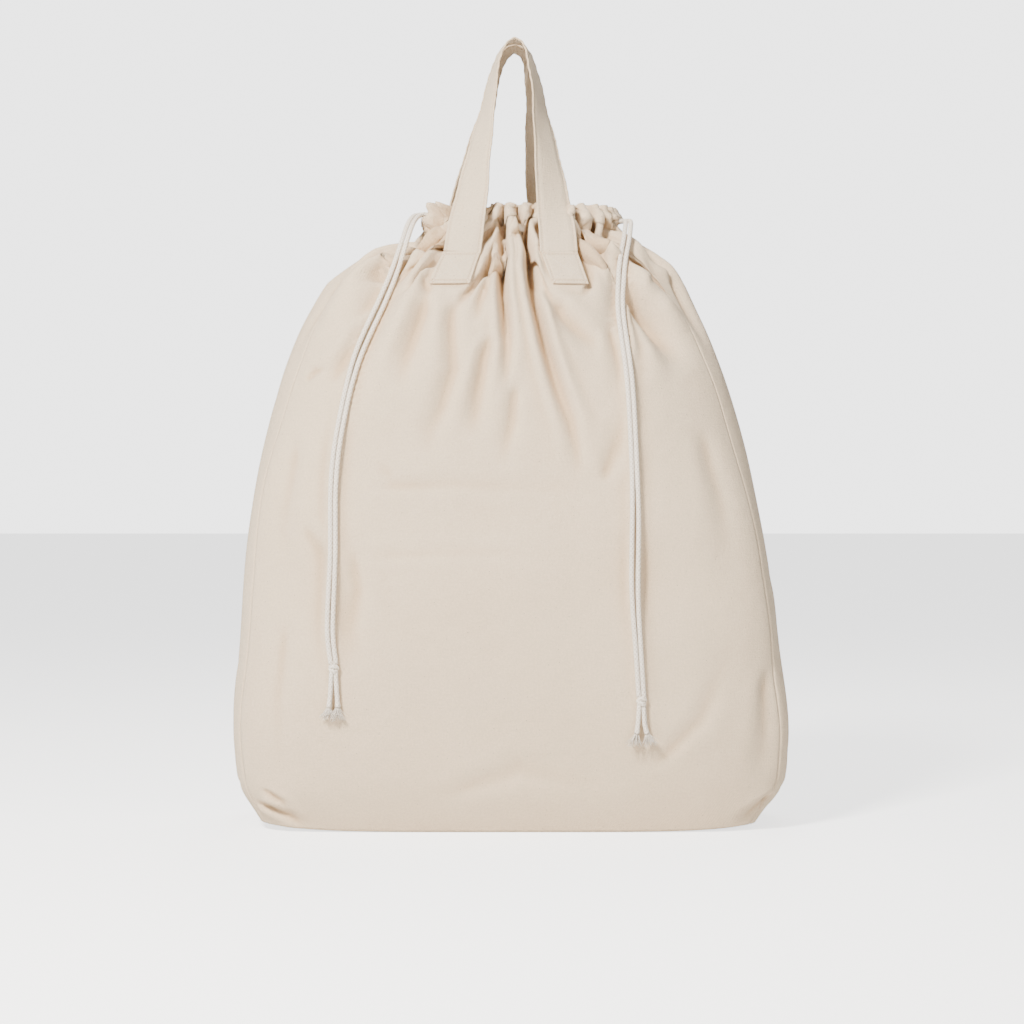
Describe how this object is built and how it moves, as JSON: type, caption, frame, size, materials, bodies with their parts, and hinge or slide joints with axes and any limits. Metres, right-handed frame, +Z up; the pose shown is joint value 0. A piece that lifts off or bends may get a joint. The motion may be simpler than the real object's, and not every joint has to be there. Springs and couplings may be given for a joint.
{
  "type": "laundry bag",
  "caption": "Freestanding gusseted canvas laundry bag with a gathered drawstring mouth, knotted drawcords hanging at its sides and strap carrying handles.",
  "frame": {"origin": "on the floor, under the middle of the bag", "axes": "+Z up through the mouth, +X to the right across the wide front panel, -Y out of the front panel"},
  "size_m": [0.71, 0.3226, 1.0118],
  "materials": {
    "natural_canvas": "plain-woven undyed cotton canvas, matt",
    "base_canvas": "plain-woven undyed cotton canvas, matt",
    "hem_canvas": "folded hem of the same canvas, matt",
    "strap_canvas": "folded and edge-stitched canvas strap, matt",
    "cotton_cord": "braided natural cotton cord, matt"
  },
  "bodies": {
    "bag": {"front_panel": "natural_canvas", "rear_panel": "natural_canvas", "left_gusset": "natural_canvas", "right_gusset": "natural_canvas", "base_panel": "base_canvas", "front_casing": "hem_canvas", "rear_casing": "hem_canvas", "left_cord_in_casing": "cotton_cord", "right_cord_in_casing": "cotton_cord", "front_handle_left_tab": "strap_canvas", "front_handle_right_tab": "strap_canvas", "rear_handle_left_tab": "strap_canvas", "rear_handle_right_tab": "strap_canvas"},
    "front_handle_loop": {"front_handle": "strap_canvas"},
    "rear_handle_loop": {"rear_handle": "strap_canvas"},
    "left_cord": {"left_cord_front_strand": "cotton_cord", "left_cord_rear_strand": "cotton_cord"},
    "left_cord_end": {"left_knot": "cotton_cord", "left_cord_inner_tail": "cotton_cord", "left_cord_outer_tail": "cotton_cord"},
    "right_cord": {"right_cord_front_strand": "cotton_cord", "right_cord_rear_strand": "cotton_cord"},
    "right_cord_end": {"right_knot": "cotton_cord", "right_cord_inner_tail": "cotton_cord", "right_cord_outer_tail": "cotton_cord"}
  },
  "joints": [
    {"name": "front_handle_swing", "type": "hinge", "parent": "bag", "child": "front_handle_loop", "pos_m": [0, -0.0962, 0.72956], "axis": [1, 0, 0], "range_deg": [0, 130]},
    {"name": "rear_handle_swing", "type": "hinge", "parent": "bag", "child": "rear_handle_loop", "pos_m": [0, 0.0962, 0.72956], "axis": [-1, 0, 0], "range_deg": [0, 130]},
    {"name": "left_cord_swing", "type": "hinge", "parent": "bag", "child": "left_cord", "pos_m": [-0.1143, 0, 0.7889], "axis": [-1, 0, 0], "range_deg": [0, 150]},
    {"name": "left_cord_draw", "type": "slide", "parent": "left_cord", "child": "left_cord_end", "axis": [0.1816, -0.0358, 0.9827], "range_m": [0, 0.45], "deforming": ["left_cord_front_strand", "left_cord_rear_strand"]},
    {"name": "right_cord_swing", "type": "hinge", "parent": "bag", "child": "right_cord", "pos_m": [0.1383, 0, 0.7799], "axis": [-1, 0, 0], "range_deg": [0, 150]},
    {"name": "right_cord_draw", "type": "slide", "parent": "right_cord", "child": "right_cord_end", "axis": [-0.0355, -0.0197, 0.9992], "range_m": [0, 0.45], "deforming": ["right_cord_front_strand", "right_cord_rear_strand"]}
  ]
}
